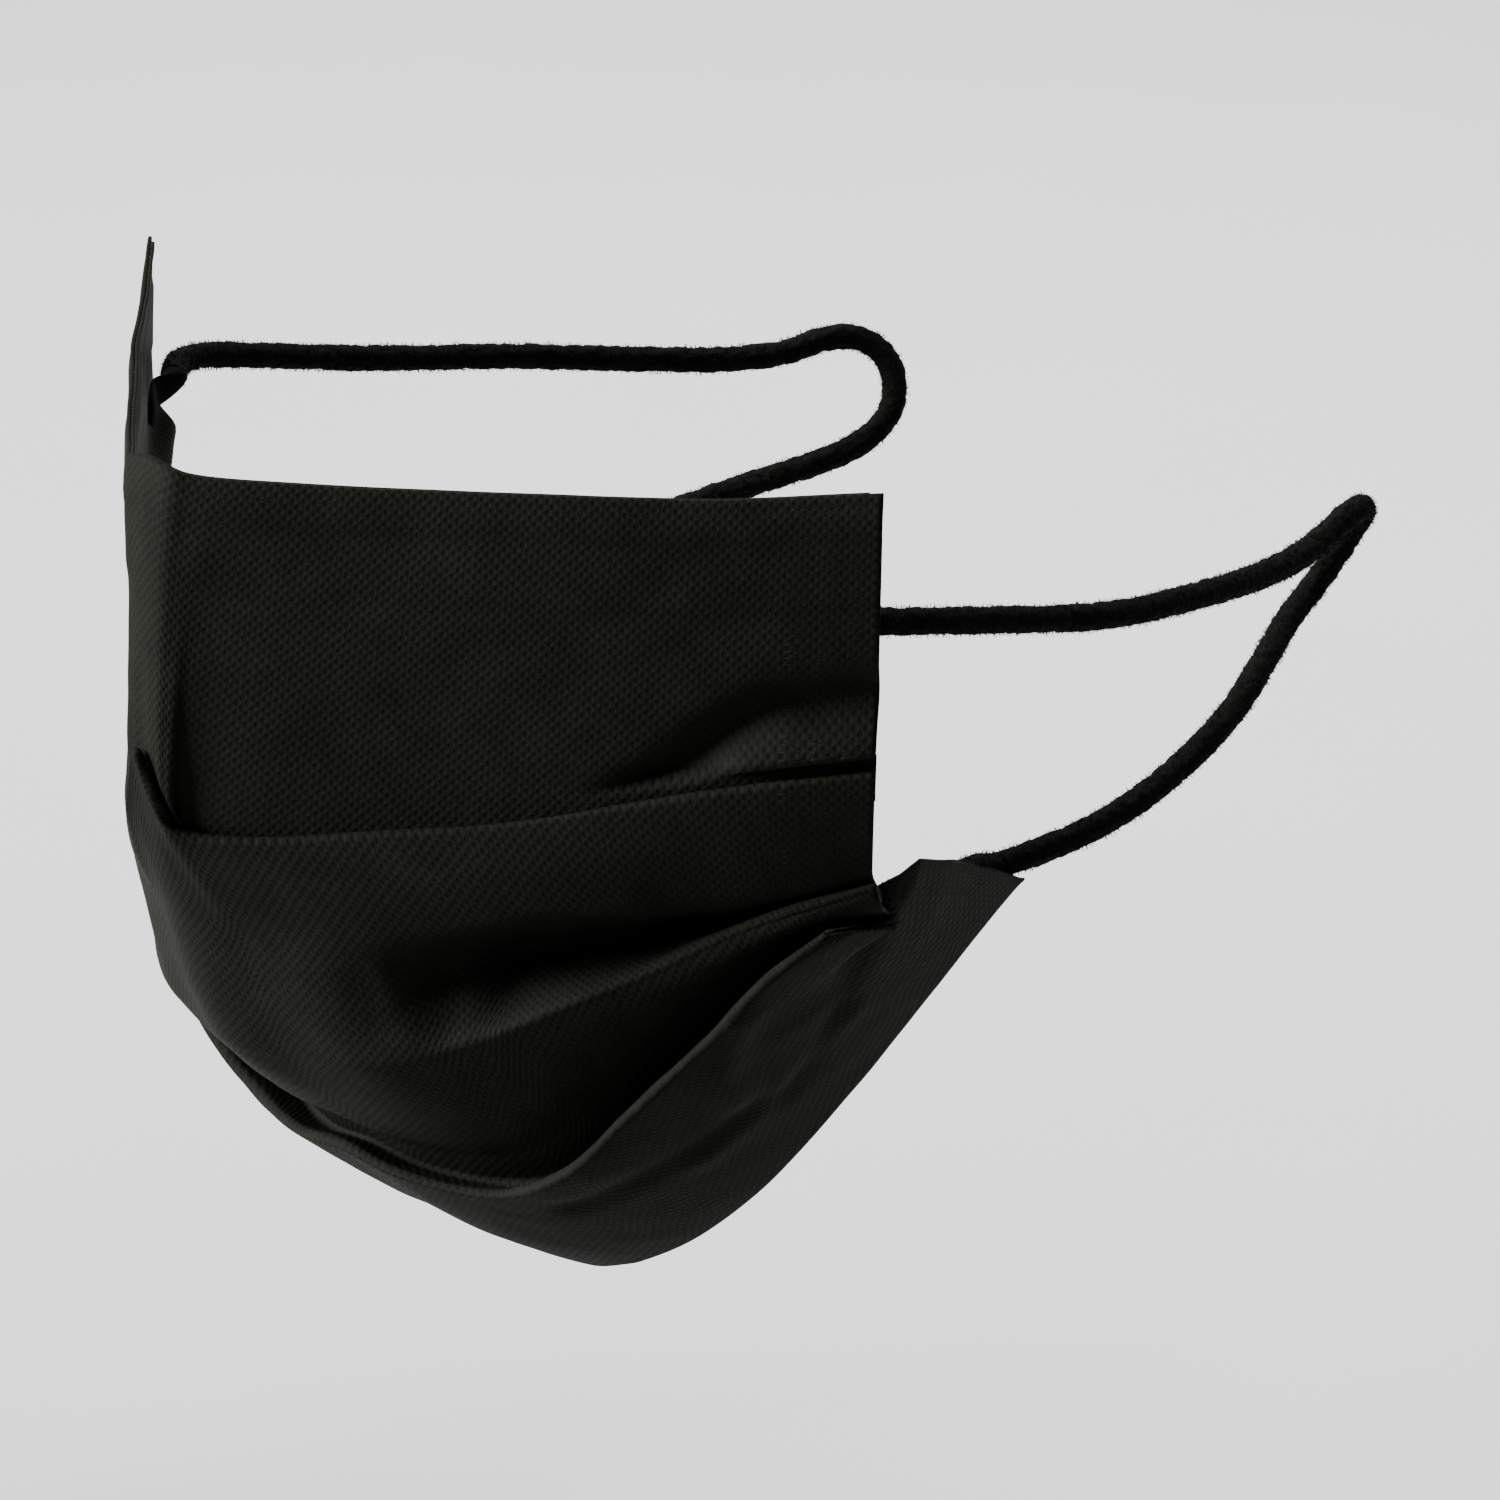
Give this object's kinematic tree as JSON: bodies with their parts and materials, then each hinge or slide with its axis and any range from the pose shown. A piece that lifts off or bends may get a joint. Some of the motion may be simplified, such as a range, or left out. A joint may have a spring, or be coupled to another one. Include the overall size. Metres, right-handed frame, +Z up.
{
  "type": "surgical mask",
  "caption": "Pleated black surgical mask in its worn shape, with a pinched nose ridge, opened pleats, a chin panel and a round elastic ear loop at each side.",
  "frame": {"origin": "on the bridge of the wearer's nose, just behind the pinched top edge", "axes": "+Z up, the wearer looks along -Y, +X towards the wearer's left"},
  "size_m": [0.1366, 0.154, 0.1114],
  "materials": {
    "cloth": "charcoal spunbond polypropylene with fine point bonds and a faint satin sheen",
    "hem_cloth": "the same spunbond turned in over the edge",
    "wire": "bare flat strip",
    "elastic": "knitted round elastic with a short fuzz"
  },
  "bodies": {
    "root": {"mask_body": "cloth", "top_hem": "hem_cloth", "bottom_hem": "hem_cloth", "nose_wire": "wire", "loop_weld_upper_left": "elastic", "loop_weld_upper_right": "elastic", "loop_weld_lower_left": "elastic", "loop_weld_lower_right": "elastic", "ear_loop_left": "elastic", "ear_loop_right": "elastic"}
  },
  "joints": []
}
